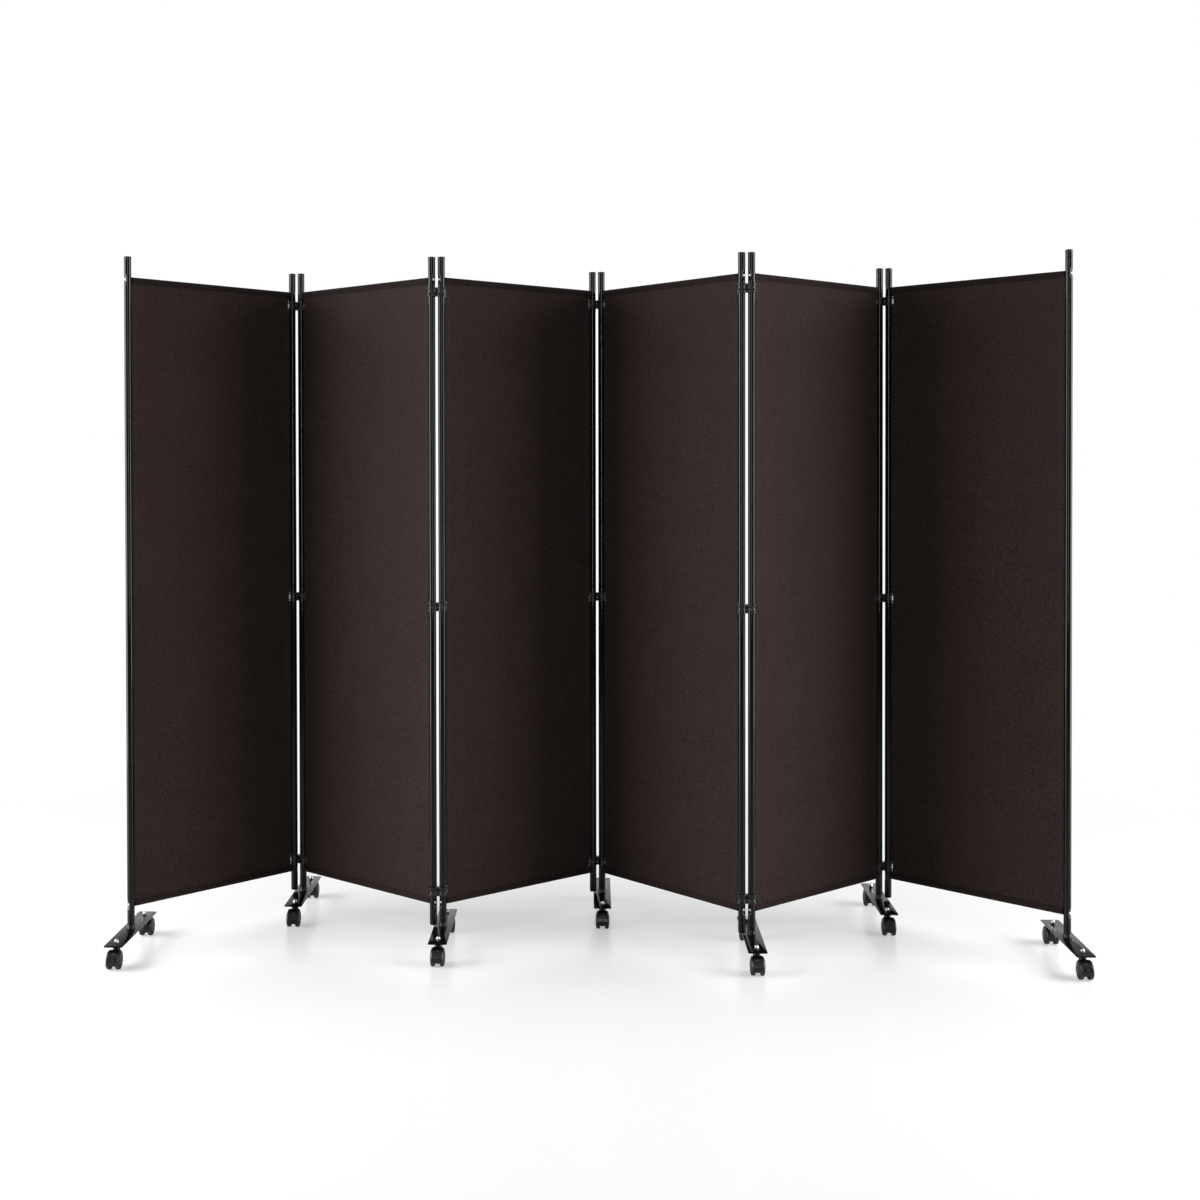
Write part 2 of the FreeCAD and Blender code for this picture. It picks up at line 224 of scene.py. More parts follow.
def turned_mesh(name, finish, profile, segments, sharp=50, base=0.0, closed=False):
    """A piece turned about Z from radii and heights in millimetres, the heights from a base in metres."""
    shell = Shell()
    shell.lathe([(radius * MM, base + z * MM) for radius, z in profile], segments, closed=closed)
    return shell.mesh(name, finish_of(finish), sharp)


def show(name, mesh, place, body, slot=None, *nodes):
    """Puts a mesh in the scene as a piece on a body, standing for CAD nodes. slot is not used."""
    piece = bpy.data.objects.new(name, mesh)
    bpy.context.collection.objects.link(piece)
    piece.matrix_world = place
    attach(piece, body)
    if nodes:
        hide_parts(*nodes)
    return piece


# Finishes


class Flow:
    """A value on its way through a finish's nodes, with the arithmetic of numbers."""

    def __init__(self, finish, socket):
        self.finish = finish
        self.socket = socket

    def math(self, operation, *others):
        return self.finish.add("ShaderNodeMath", {"operation": operation}, dict(enumerate((self, *others))))

    def __add__(self, other):
        return self.math("ADD", other)

    def __sub__(self, other):
        return self.math("SUBTRACT", other)

    def __rsub__(self, other):
        return self.finish.add("ShaderNodeMath", {"operation": "SUBTRACT"}, {0: other, 1: self})

    def __mul__(self, other):
        return self.math("MULTIPLY", other)

    def __truediv__(self, other):
        return self.math("DIVIDE", other)

    def __pow__(self, other):
        return self.math("POWER", other)

    def __mod__(self, other):
        return self.math("FLOORED_MODULO", other)

    def __lt__(self, other):
        return self.math("LESS_THAN", other)

    def __gt__(self, other):
        return self.math("GREATER_THAN", other)

    def __abs__(self):
        return self.math("ABSOLUTE")

    __radd__ = __add__
    __rmul__ = __mul__

    def sine(self):
        return self.math("SINE")

    def clamped(self):
        return self.finish.add("ShaderNodeClamp", {}, {"Value": self})


class Nodes:
    """One node tree, and what is added to it. A Flow or a plain value feeds a socket."""

    def __init__(self, tree):
        self.tree = tree

    def feed(self, socket, value):
        if isinstance(value, Flow):
            self.tree.links.new(value.socket, socket)
        else:
            socket.default_value = value

    def add(self, kind, settings=None, sockets=None, out=0):
        """A node of a kind, with its settings, and its sockets fed. out names or numbers the output."""
        node = self.tree.nodes.new(kind)
        for name, value in (settings or {}).items():
            setattr(node, name, value)
        for name, value in (sockets or {}).items():
            self.feed(node.inputs[name], value)
        return Flow(self, node.outputs[out])

    def parts(self, point):
        """The three numbers of a point."""
        node = self.add("ShaderNodeSeparateXYZ", {}, {0: point}).socket.node
        return [Flow(self, output) for output in node.outputs]

    def mix(self, factor, first, second):
        """A colour between two."""
        return self.add("ShaderNodeMix", {"data_type": "RGBA"}, {0: factor, 6: first, 7: second}, 2)

    def place(self):
        """The place on the piece in its own axes, in metres, and its three parts."""
        point = self.add("ShaderNodeTexCoord", out="Object")
        return point, self.parts(point)

    def cloud(self, point, scale, detail=3.0, roughness=0.55, stretch=(1, 1, 1)):
        """Noise from 0 to 1. scale is in spots per metre, and stretch thins it along an axis."""
        spot = self.add("ShaderNodeVectorMath", {"operation": "MULTIPLY"}, {0: point, 1: stretch})
        return self.add(
            "ShaderNodeTexNoise",
            {},
            {"Vector": spot, "Scale": scale, "Detail": detail, "Roughness": roughness},
            "Fac",
        )


class Finish(Nodes):
    """One material: its nodes and its main shader."""

    def __init__(self, name):
        self.material = bpy.data.materials.new(name)
        self.material.use_nodes = True
        super().__init__(self.material.node_tree)
        self.shader = self.tree.nodes["Principled BSDF"]

    def relief(self, height, distance, strength):
        """Feeds a height from 0 to 1 to the surface's normal."""
        bump = self.add("ShaderNodeBump", {}, {"Height": height, "Distance": distance, "Strength": strength})
        self.feed(self.shader.inputs["Normal"], bump)

    def set(self, **sockets):
        """Sets or feeds the main shader's sockets, with _ for a space."""
        for name, value in sockets.items():
            self.feed(self.shader.inputs[name.replace("_", " ")], value)


def shade(colour, level):
    """A colour made lighter or darker, with its alpha."""
    return tuple(min(1.0, part * level) for part in colour[:3]) + (1.0,)


def gloss_paint(finish, colours):
    """Black enamel on the posts and rails: clear gloss, a trace of orange peel and fine rubbed streaks."""
    point, _ = finish.place()
    mottle = finish.cloud(point, 60)
    streak = finish.cloud(point, 900, 4, stretch=(1, 1, 0.03))
    base = finish.mix(mottle, shade(colours.enamel, 0.75), shade(colours.enamel, 1.35))
    dull = (streak - 0.5) * 0.08 + mottle * 0.04 + 0.06
    finish.set(Base_Color=base, Roughness=dull, Specular_IOR_Level=0.3)
    finish.relief(finish.cloud(point, 420, 2), 0.03 * MM, 0.35)


def plate_paint(finish, colours):
    """Black powder coat on the foot plates: fine grain, a few scuffs, and gloss along the rolled edges."""
    point, (x, _, _) = finish.place()
    half_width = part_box("foot_1")[1].x - JOINTS["foot_1_turn"].x
    rolled = abs(x) > half_width - 0.4 * MM
    mottle = finish.cloud(point, 45)
    scuff = (finish.cloud(point, 160, 5, 0.7, (1, 0.25, 1)) - 0.58) * 5
    scuff = scuff.clamped()
    base = finish.mix(scuff * 0.5 + mottle * 0.3, shade(colours.enamel, 0.9), shade(colours.enamel, 2.2))
    finish.set(Base_Color=base, Roughness=mottle * 0.05 + scuff * 0.12 + 0.07, Specular_IOR_Level=0.045)
    finish.set(Coat_Weight=rolled, Coat_Roughness=0.12)
    finish.relief(finish.cloud(point, 900, 3), 0.04 * MM, 0.3)


def moulded_plastic(finish, colours):
    """Satin black plastic of the clips, caps and caster hoods, with a moulded grain."""
    point, _ = finish.place()
    grain = finish.cloud(point, 2600, 2)
    mottle = finish.cloud(point, 120)
    base = finish.mix(mottle, shade(colours.plastic, 0.8), shade(colours.plastic, 1.3))
    finish.set(Base_Color=base, Roughness=mottle * 0.12 + 0.26, Specular_IOR_Level=0.5)
    finish.relief(grain, 0.04 * MM, 0.3)


def wheel_plastic(finish, colours):
    """Hard plastic of the wheels: satin on the domed sides, dull and dusty on the tread."""
    point, (_, y, z) = finish.place()
    above = z - AXLE_HEIGHT
    behind = y + AXLE_BEHIND
    radius = (above * above + behind * behind) ** 0.5
    tread_start, tread_full = 19.4 * MM, 20.6 * MM
    tread = ((radius - tread_start) / (tread_full - tread_start)).clamped()
    dust = finish.cloud(point, 260, 5, 0.65)
    worn = tread * (dust * 0.7 + 0.3)
    base = finish.mix(worn, shade(colours.plastic, 1.5), shade(colours.dust, 0.55))
    finish.set(Base_Color=base, Roughness=worn * 0.35 + dust * 0.1 + 0.3, Specular_IOR_Level=0.5)
    finish.relief(finish.cloud(point, 1800, 3), 0.05 * MM, 0.4)


def zinc_plate(finish, colours):
    """Bright zinc on nuts and screws: a fine turned brushing and dull spots."""
    point, _ = finish.place()
    dull = finish.cloud(point, 500, 4)
    fine = finish.cloud(point, 4000, 2, stretch=(1, 1, 0.15))
    base = finish.mix(dull, shade(colours.zinc, 0.82), shade(colours.zinc, 1.05))
    finish.set(Base_Color=base, Metallic=1.0, Roughness=dull * 0.2 + fine * 0.08 + 0.18)
    finish.relief(fine, 0.02 * MM, 0.35)


def stud_steel(finish, colours):
    """Blackened steel of the caster studs, worn bright in places."""
    point, _ = finish.place()
    wear = finish.cloud(point, 700, 4)
    base = finish.mix(wear, shade(colours.enamel, 1.2), shade(colours.zinc, 0.12))
    finish.set(Base_Color=base, Metallic=0.6, Roughness=wear * 0.2 + 0.32)
    finish.relief(wear, 0.04 * MM, 0.3)


def woven_cloth(finish, colours):
    """Brown plain weave: threads over and under, slubs both ways, the stitched lines of its hems, and painted
    shade over the hems.
    """
    cloth = bpy.context.scene.divider_cloth
    point, (x, _, z) = finish.place()
    turn = math.pi / cloth.thread_pitch
    wave_x, wave_z = (x * turn).sine(), (z * turn).sine()
    over = (wave_x * wave_z * 2 + 0.5).clamped()
    threads = abs(wave_x) * over + abs(wave_z) * (1 - over)
    warp = finish.cloud(point, 900, 2, stretch=(1, 1, 0.04))
    weft = finish.cloud(point, 900, 2, stretch=(0.04, 1, 1))
    blotch = finish.cloud(point, 9, 4, 0.6)
    fleck = finish.cloud(point, 230, 3, 0.7)

    def stitches(offset, along):
        half_thread, stitched_share = 0.45 * MM, 0.68
        line = abs(offset) < half_thread
        dash = (along % cloth.stitch_length) < cloth.stitch_length * stitched_share
        return line * dash

    # The seams lie a little inside the folds' edges.
    low = SCREW_HEIGHTS[0] - RAIL_RADIUS + cloth.hem_height - 1 * MM
    high = SCREW_HEIGHTS[1] + RAIL_RADIUS - cloth.hem_height + 1 * MM
    side = POST_RADIUS + cloth.side_hem - 2 * MM
    seams = stitches(z - low, x) + stitches(z - high, x)
    seams = (seams + stitches(x - side, z) + stitches(x - (POST_PITCH - side), z)).clamped()
    grain = (warp + weft) * 0.5 + fleck * 3 + blotch * 0.35
    tone = (grain + threads * 0.12 - 1.73).clamped()
    base = finish.mix(tone, shade(colours.cloth, 0.42), shade(colours.cloth, 1.64))
    # Painted shade: the hems are painted darker than the sheet, the upper one most, standing in for the shade
    # under their folds.
    folded = (z < low) * 0.55 + (z > high) * 0.9
    base = finish.mix(folded, base, shade(colours.cloth, 0.4))
    base = finish.mix(seams * 0.6, base, shade(colours.cloth, 1.9))
    finish.set(Base_Color=base, Roughness=fleck * 0.12 + 0.8, Specular_IOR_Level=0.18, Sheen_Weight=0.05)
    finish.relief(threads * 0.6 + warp * 0.3 + weft * 0.3 + seams * 0.8, 0.22 * MM, 0.55)


FINISHES = {
    "post_enamel": gloss_paint,
    "foot_powder_coat": plate_paint,
    "moulded_plastic": moulded_plastic,
    "wheel_plastic": wheel_plastic,
    "zinc_plate": zinc_plate,
    "stud_steel": stud_steel,
    "woven_cloth": woven_cloth,
}


def finish_of(name):
    """A finish, made the first time that it is asked for."""
    made = bpy.data.materials.get(name)
    if made is None:
        finish = Finish(name)
        FINISHES[name](finish, bpy.context.scene.divider_colours)
        made = finish.material
    return made


# Settings


class DividerColours(bpy.types.PropertyGroup):
    enamel: FloatVectorProperty(
        name="Enamel", description="Black of the posts and foot plates", subtype="COLOR", size=3,
        min=0, max=1, default=(0.0045, 0.0045, 0.005),
    )
    plastic: FloatVectorProperty(
        name="Plastic", description="Black of the clips, caps and casters", subtype="COLOR", size=3,
        min=0, max=1, default=(0.0065, 0.0065, 0.007),
    )
    dust: FloatVectorProperty(
        name="Dust", description="Grey that wears into the treads", subtype="COLOR", size=3,
        min=0, max=1, default=(0.12, 0.115, 0.105),
    )
    cloth: FloatVectorProperty(
        name="Cloth", description="Brown of the panels", subtype="COLOR", size=3,
        min=0, max=1, default=(0.0345, 0.0206, 0.0186),
    )
    zinc: FloatVectorProperty(
        name="Zinc", description="Nuts and screws", subtype="COLOR", size=3,
        min=0, max=1, default=(0.82, 0.82, 0.8),
    )


class DividerPosts(bpy.types.PropertyGroup):
    joint_height: FloatProperty(
        name="Joint height", description="Where the two tubes of a post meet", unit="LENGTH",
        default=870 * MM, min=0.3, max=1.5,
    )
    button_height: FloatProperty(
        name="Button height", description="Height of the spring button above each joint", unit="LENGTH",
        default=884 * MM, min=0.3, max=1.5,
    )
    dimple_depth: FloatProperty(
        name="Dimple depth", description="How far a tube is pressed in under a rail screw", unit="LENGTH",
        default=2.6 * MM, min=0, max=0.004,
    )
    cap_height: FloatProperty(
        name="Cap height", description="Height of the plastic cap on a post", unit="LENGTH",
        default=7.5 * MM, min=0.003, max=0.02,
    )
    collar_height: FloatProperty(
        name="Collar height", description="Height of the bush where a post stands on its foot", unit="LENGTH",
        default=10 * MM, min=0.003, max=0.03,
    )


class DividerCloth(bpy.types.PropertyGroup):
    hem_height: FloatProperty(
        name="Hem height", description="Height of the pocket round each rail", unit="LENGTH",
        default=17.5 * MM, min=0.012, max=0.08,
    )
    side_hem: FloatProperty(
        name="Side hem", description="Width of the fold along each upright edge", unit="LENGTH",
        default=12 * MM, min=0.005, max=0.03,
    )
    thread_pitch: FloatProperty(
        name="Thread pitch", description="Distance between two threads", unit="LENGTH",
        default=1.5 * MM, min=0.0005, max=0.005,
    )
    stitch_length: FloatProperty(
        name="Stitch length", description="Length of one stitch and its gap", unit="LENGTH",
        default=3.6 * MM, min=0.001, max=0.01,
    )
    ripple: FloatProperty(
        name="Ripple", description="How far the stretched cloth wanders from a plane", unit="LENGTH",
        default=0.9 * MM, min=0, max=0.003,
    )
    seed: IntProperty(name="Seed", description="Picks the ripple's pattern", default=7, min=0)


class DividerCasters(bpy.types.PropertyGroup):
    dimple_radius: FloatProperty(
        name="Dimple radius", description="Radius of the two round dimples in a hood's back", unit="LENGTH",
        default=2.9 * MM, min=0.001, max=0.004,
    )
    dimple_depth: FloatProperty(
        name="Dimple depth", description="Depth of the two dimples", unit="LENGTH",
        default=1.7 * MM, min=0, max=0.002,
    )
    dome: FloatProperty(
        name="Wheel dome", description="How far a wheel's side swells over its rim", unit="LENGTH",
        default=3.0 * MM, min=0, max=0.006,
    )


class DividerStage(bpy.types.PropertyGroup):
    left_power: FloatProperty(
        name="Left lamp", description="Power of the soft lamp at the left", subtype="POWER",
        default=130, min=0,
    )
    right_power: FloatProperty(
        name="Right lamp", description="Power of the soft lamp at the right", subtype="POWER",
        default=124, min=0,
    )
    top_power: FloatProperty(
        name="Top lamp", description="Power of the soft lamp above the front", subtype="POWER",
        default=16, min=0,
    )
    strip_power: FloatProperty(
        name="Strip", description="Power of the upright strip at the front, seen only in gloss",
        subtype="POWER", default=32, min=0,
    )
    fill: FloatProperty(
        name="Fill", description="Strength of the light from all round", default=0.085, min=0, max=2,
    )
    floor: FloatVectorProperty(
        name="Floor", description="Colour of the floor", subtype="COLOR", size=3,
        min=0, max=1, default=(0.78, 0.78, 0.775),
    )
    lens: FloatProperty(
        name="Lens", description="Focal length of the camera in millimetres", default=45.357, min=10, max=200,
    )


# Posts


def post_mesh(side, is_long, posts):
    """A post about its own axis: a tube with a dimple under each rail screw and a groove at its joint."""
    outward = math.pi if side == "left" else 0.0
    foot = LONG_FOOT if is_long else SHORT_FOOT
    shoulder = POST_TOP - posts.cap_height
    neck, groove, half = 8.5 * MM, 0.55 * MM, 14 * MM
    heights = set(spread(foot + 1 * MM, shoulder, 30))
    for centre in SCREW_HEIGHTS:
        heights.update(spread(centre - half, centre + half, 17))
    # The groove runs from half a millimetre below the joint up to it.
    joint = posts.joint_height
    heights.update(joint + step * MM for step in (-0.9, -0.6, -0.5, 0.0, 0.1, 0.2))
    heights = sorted(z for z in heights if z > foot + 0.9 * MM)
    rows = [(foot, neck), (foot + 0.3 * MM, POST_RADIUS)]
    for z in heights:
        inside = joint - 0.55 * MM < z < joint + 0.05 * MM
        rows.append((z, POST_RADIUS - (groove if inside else 0)))
    rows += [(shoulder + 0.2 * MM, neck), (shoulder + 3 * MM, neck)]
    shell = Shell()
    rings = []
    for z, radius in rows:
        points = []
        for angle in circle(48):
            away = abs((angle - outward + math.pi) % math.tau - math.pi)
            dent = 0.0
            for centre in SCREW_HEIGHTS:
                along = abs(z - centre) / half
                if away < 1 and along < 1:
                    dent = min(1.0, 1.5 * (1 - away ** 2) ** 2 * (1 - along ** 2) ** 2) * posts.dimple_depth
            points.append(((radius - dent) * math.cos(angle), (radius - dent) * math.sin(angle), z))
        rings.append(shell.ring(points))
    shell.solid(rings)
    return shell.mesh(f"post_{side}_{'long' if is_long else 'short'}", finish_of("post_enamel"), 50)


class DIVIDER_OT_posts(bpy.types.Operator):
    """Build the twelve posts"""

    bl_idname = "divider.posts"
    bl_label = "Posts"

    def execute(self, context):
        meshes = {}
        for panel, side, place in posts_in_row():
            kind = (side, (panel, side) in LONG_POSTS)
            if kind not in meshes:
                meshes[kind] = post_mesh(*kind, context.scene.divider_posts)
            name = f"post_{panel}_{side}"
            show(name, meshes[kind], place, f"panel_{panel}", "post", f"panel_{panel}_posts")
        for panel in PANELS:
            rail = frame["nodes"][f"panel_{panel}_rails"].data
            rail.materials.clear()
            rail.materials.append(finish_of("post_enamel"))
        return {"FINISHED"}


class DIVIDER_OT_caps(bpy.types.Operator):
    """Build the caps on the posts, the plugs in the short posts and the bushes under the long ones"""

    bl_idname = "divider.caps"
    bl_label = "Caps and bushes"

    def execute(self, context):
        posts = context.scene.divider_posts
        low = -posts.cap_height / MM
        cap = turned_mesh("post_cap", "moulded_plastic", (
            (8.2, low + 0.1), (8.9, low), (9.15, low + 0.3), (9.2, low + 0.6),
            (9.2, -1.5), (9.05, -0.8), (8.6, -0.25), (7.9, 0),
        ), 48, base=POST_TOP)
        plug = turned_mesh("post_plug", "moulded_plastic", (
            (6.6, -1.2), (7.8, -1.1), (8.5, -0.7), (8.7, -0.2), (8.7, 0.2), (7.2, 0.4), (7.2, 6),
        ), 40, base=SHORT_FOOT)
        top = posts.collar_height / MM
        bush = turned_mesh("foot_bush", "moulded_plastic", (
            (9.15, 0.1), (10.6, 0.1), (10.8, 0.6), (10.3, 1.8),
            (10.1, top - 1.2), (9.9, top - 0.4), (9.5, top), (9.15, top),
        ), 48, base=PLATE_TOP, closed=True)
        for panel, side, place in posts_in_row():
            show(f"cap_{panel}_{side}", cap, place, f"panel_{panel}", "clip")
            if (panel, side) not in LONG_POSTS:
                show(f"plug_{panel}_{side}", plug, place, f"panel_{panel}", "clip")
        for foot in FEET:
            show(f"foot_bush_{foot}", bush, upright_place(f"foot_{foot}_turn"), f"foot_{foot}", "clip")
        return {"FINISHED"}


def screw_mesh():
    """A pan head with a cross recess, its axis along Z and its seat at 0."""
    shell = Shell()
    radius, height = 3.8 * MM, 2.1 * MM
    arm_half, arm_reach, recess_depth = 0.3 * MM, 1.9 * MM, 1.1 * MM
    steps = 14
    rings = []
    for step in range(steps + 1):
        r = radius * step / steps
        dome = height * (1 - (r / radius) ** 4 * 0.85) if step < steps else 0.0
        points = []
        for angle in circle(40):
            x, y = r * math.cos(angle), r * math.sin(angle)
            arm = 1 - ease((min(abs(x), abs(y)) - arm_half) / (0.35 * MM))
            sunk = arm * (1 - ease((r - arm_reach) / (0.5 * MM))) * recess_depth
            points.append((x, y, dome - sunk))
        rings.append(shell.ring(points))
    shell.skin(list(reversed(rings)))
    shell.faces.append(tuple(reversed(rings[-1])))
    return shell.mesh("rail_screw", finish_of("zinc_plate"), 35)


class DIVIDER_OT_screws(bpy.types.Operator):
    """Build the screws that hold the rails and the spring buttons of the posts"""

    bl_idname = "divider.screws"
    bl_label = "Screws and buttons"

    def execute(self, context):
        posts = context.scene.divider_posts
        screw = screw_mesh()
        button = turned_mesh("spring_button", "post_enamel", (
            (2.9, -0.6), (2.9, 0.1), (2.7, 0.3), (2.5, 0.35), (2.4, 0.9), (2.0, 1.35), (1.2, 1.65),
            (0.4, 1.75),
        ), 28, 40)
        lay = Matrix.Rotation(math.radians(90), 4, "Y")
        # The buttons look forward, and this far from the panel's plane.
        aside = math.radians(42)
        reach = Matrix.Translation((POST_RADIUS - 0.2 * MM, 0, posts.button_height))
        for panel, side, post in posts_in_row():
            outward = math.pi if side == "left" else 0.0
            for level, height in zip(("low", "high"), SCREW_HEIGHTS):
                seat = Matrix.Translation((POST_RADIUS - posts.dimple_depth, 0, height))
                place = post @ Matrix.Rotation(outward, 4, "Z") @ seat @ lay
                show(f"screw_{panel}_{side}_{level}", screw, place, f"panel_{panel}")
            forward = -aside if side == "left" else math.pi + aside
            place = post @ Matrix.Rotation(forward, 4, "Z") @ reach @ lay
            show(f"button_{panel}_{side}", button, place, f"panel_{panel}", "post")
        return {"FINISHED"}


# Cloth


def edge_inset(panel, side, z):
    """How far the cloth's upright edge lies from the post's axis at a height: more beside a clip."""
    clipped = (panel, side) not in ((1, "left"), (6, "right"))
    for centre in CLIP_HEIGHTS.values():
        if clipped and abs(z - centre) < NOTCH_HALF:
            return NOTCH_INSET
    return EDGE_INSET


def cloth_across(panel, share, z):
    """A share of the cloth's width at a height, as a distance from the left post's axis."""
    left = edge_inset(panel, "left", z)
    return left + (POST_PITCH - left - edge_inset(panel, "right", z)) * share


def notch_rows(low, high, step):
    """Heights from low to high, with a pair at each end of every notch."""
    rows = set(spread(low, high, max(2, round((high - low) / step) + 1)))
    for centre in CLIP_HEIGHTS.values():
        for end in (-1, 1):
            edge = centre + end * NOTCH_HALF
            rows.update(z for z in (edge - 0.1 * MM, edge + 0.1 * MM) if low < z < high)
    return sorted(rows)


def wander(x, z, panel, cloth):
    """How far the stretched cloth stands from its plane: slow swells, and slight pleats under the rails."""
    low, high = SCREW_HEIGHTS
    along = (z - low) / (high - low)
    pleated_share = 0.2
    hold = max(0.0, math.sin(math.pi * min(1.0, max(0.0, along)))) ** 0.5
    seed = cloth.seed + panel * 11.3
    swell = noise.noise(Vector((x * 5.0, z * 1.6, seed)))
    pleat = noise.noise(Vector((x * 34.0, z * 2.2, seed + 4.0)))
    ends = max(0.0, 1 - along / pleated_share) + max(0.0, 1 - (1 - along) / pleated_share)
    return cloth.ripple * (swell * 1.1 * hold + pleat * (0.12 + 0.35 * ends) * hold)


def cloth_mesh(panel, cloth):
    """The seen sheet of one panel, two skins and its edges, from one rail to the other."""
    clear = RAIL_RADIUS + 0.3 * MM
    low, high = SCREW_HEIGHTS[0] + clear, SCREW_HEIGHTS[1] - clear
    shares = [0.0, 0.011, 0.0245, 0.0265] + spread(0.05, 0.95, 37) + [0.9735, 0.9755, 0.989, 1.0]
    # The folds along the upright edges take this share of the width at either side.
    fold_share = 0.0255
    edge_half, fold_half, sheet_half = 0.5 * MM, 0.75 * MM, 0.45 * MM
    shell = Shell()
    rings = []
    for z in notch_rows(low, high, 11 * MM):
        front, back = [], []
        for index, share in enumerate(shares):
            x = cloth_across(panel, share, z)
            folded = share < fold_share or share > 1 - fold_share
            half = fold_half if folded else sheet_half
            if index in (0, len(shares) - 1):
                half = edge_half
            centre = wander(x, z, panel, cloth)
            front.append((x, centre - half, z))
            back.append((x, centre + half, z))
        rings.append(shell.ring(front + back[::-1]))
    shell.solid(rings)
    return shell.mesh(f"cloth_{panel}", finish_of("woven_cloth"), 60)


def hem_mesh(panel, end, cloth):
    """The pocket that a rail runs in: a teardrop of cloth, closed by a seam towards the sheet."""
    centre = SCREW_HEIGHTS[end == "high"]
    inwards = -1 if end == "high" else 1
    seam = centre - inwards * RAIL_RADIUS + inwards * cloth.hem_height
    outer, inner = [], []
    # Each skin's reach round the rail, and its half width at the seam.
    skins = ((RAIL_RADIUS + 0.95 * MM, 1.55 * MM, outer), (RAIL_RADIUS + 0.2 * MM, 0.85 * MM, inner))
    for reach, flat, path in skins:
        tail = spread(1.0, 0.06, 9)
        rim = centre + inwards * 1.2 * MM
        side = [(-(flat + (reach - flat) * ease(1 - t)), rim + (seam - rim) * t) for t in tail]
        arc = spread(math.pi, 0, 13)
        over = [(reach * math.cos(a), centre - inwards * reach * math.sin(a)) for a in arc]
        path.extend(side + over + [(-y, z) for y, z in reversed(side)])
    outline = outer + inner[::-1]
    shell = Shell()
    rings = []
    for share in spread(0, 1, 72):
        points = []
        for y, z in outline:
            x = cloth_across(panel, share, z)
            fold = noise.noise(Vector((x * 60.0, z * 30.0, cloth.seed + panel)))
            loose = abs(z - centre) / cloth.hem_height
            shift = wander(x, z, panel, cloth)
            swell = 1 + 0.10 * fold * loose
            points.append((x, y * swell + shift, z))
        rings.append(shell.ring(points))
    shell.wall(rings)
    return shell.mesh(f"hem_{panel}_{end}", finish_of("woven_cloth"), 60)


class DIVIDER_OT_cloth(bpy.types.Operator):
    """Build the six stretched cloths with their hems"""

    bl_idname = "divider.cloth"
    bl_label = "Cloth"

    def execute(self, context):
        cloth = context.scene.divider_cloth
        for panel in PANELS:
            place = panel_place(panel)
            body = f"panel_{panel}"
            hems = [
                show(f"hem_{panel}_{end}", hem_mesh(panel, end, cloth), place, body, "fabric")
                for end in ("low", "high")
            ]
            mesh = cloth_mesh(panel, cloth)
            sheet = show(f"cloth_{panel}", mesh, place, body, "fabric", f"panel_{panel}_fabric")
        return {"FINISHED"}


# Hinge clips


def clip_mesh():
    """One clip about its own middle: two flanged rings with a waist, and a web between."""
    waist = [(12.3, 11), (12.85, 10.7), (13.0, 10.2), (13.0, 7.3), (12.8, 6.7), (11.2, 6.3), (10.7, 5.6)]
    outer = waist + [(r, -z) for r, z in reversed(waist)]
    profile = outer + [(9.6, -11), (9.08, -10.5), (9.08, 10.5), (9.6, 11)]
    ring_offset, web_half, web_waist = 12, 6, 1.1
    shell = Shell()
    for across in (-ring_offset, ring_offset):
        shell.lathe([(r * MM, z * MM) for r, z in reversed(profile)], 44, (across * MM, 0, 0), closed=True)
    # The web: its sides run in towards the gap between the two posts, as deep as the rings at their waist.
    rings = []
    for radius, z in reversed(outer):
        half = radius - 6.4
        across = spread(-web_half, web_half, 9)
        side = [(x, half - web_waist * (1 - (x / web_half) ** 2)) for x in across]
        outline = [(x, -y) for x, y in side] + [(x, y) for x, y in reversed(side)]
        rings.append(shell.ring((x * MM, y * MM, z * MM) for x, y in outline))
    shell.solid(rings)
    return shell.mesh("hinge_clip", finish_of("moulded_plastic"), 42)


class DIVIDER_OT_clips(bpy.types.Operator):
    """Build the fifteen hinge clips"""

    bl_idname = "divider.clips"
    bl_label = "Hinge clips"

    def execute(self, context):
        clip = clip_mesh()
        for station in STATIONS:
            left, right = post_axis(station, "right"), post_axis(station + 1, "left")
            middle = (left + right) / 2
            turn = math.atan2(right.y - left.y, right.x - left.x)
            for level, height in CLIP_HEIGHTS.items():
                place = Matrix.Translation((middle.x, middle.y, height)) @ Matrix.Rotation(turn, 4, "Z")
                show(f"clip_{station}_{level}", clip, place, f"clips_{station}", "clip", f"clips_{station}")
        return {"FINISHED"}


# Feet


def rounded_outline(half_width, half_length, radius):
    """The points of a rectangle with round corners, counter-clockwise."""
    points = []
    corners = ((1, 1, 0), (-1, 1, 90), (-1, -1, 180), (1, -1, 270))
    for across, deep, start in corners:
        for turn in spread(start, start + 90, 7):
            angle = math.radians(turn)
            points.append((
                across * (half_width - radius) + radius * math.cos(angle),
                deep * (half_length - radius) + radius * math.sin(angle),
            ))
    return points


def plate_mesh():
    """The foot plate with its rolled edges, and the spigot that its post stands over."""
    low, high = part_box("foot_1")
    half_width, half_length = (high.x - low.x) / 2, (high.y - low.y) / 2
    corner, spigot_height = 4 * MM, 50 * MM
    shell = Shell()
    rings = []
    for inset, z in (
        (0.9, PLATE_UNDERSIDE), (0.35, PLATE_UNDERSIDE + 0.15 * MM), (0.0, PLATE_UNDERSIDE + 0.7 * MM),
        (0.0, PLATE_TOP - 0.7 * MM), (0.3, PLATE_TOP - 0.18 * MM), (0.8, PLATE_TOP),
    ):
        edge = inset * MM
        outline = rounded_outline(half_width - edge, half_length - edge, corner - edge)
        rings.append(shell.ring((x, y, z) for x, y in outline))
    shell.solid(rings)
    top = PLATE_TOP + spigot_height
    shell.lathe([(7.4 * MM, PLATE_TOP - 0.2 * MM), (7.4 * MM, top - 0.6 * MM), (6.8 * MM, top)], 32)
    return shell.mesh("foot_plate", finish_of("foot_powder_coat"), 50)


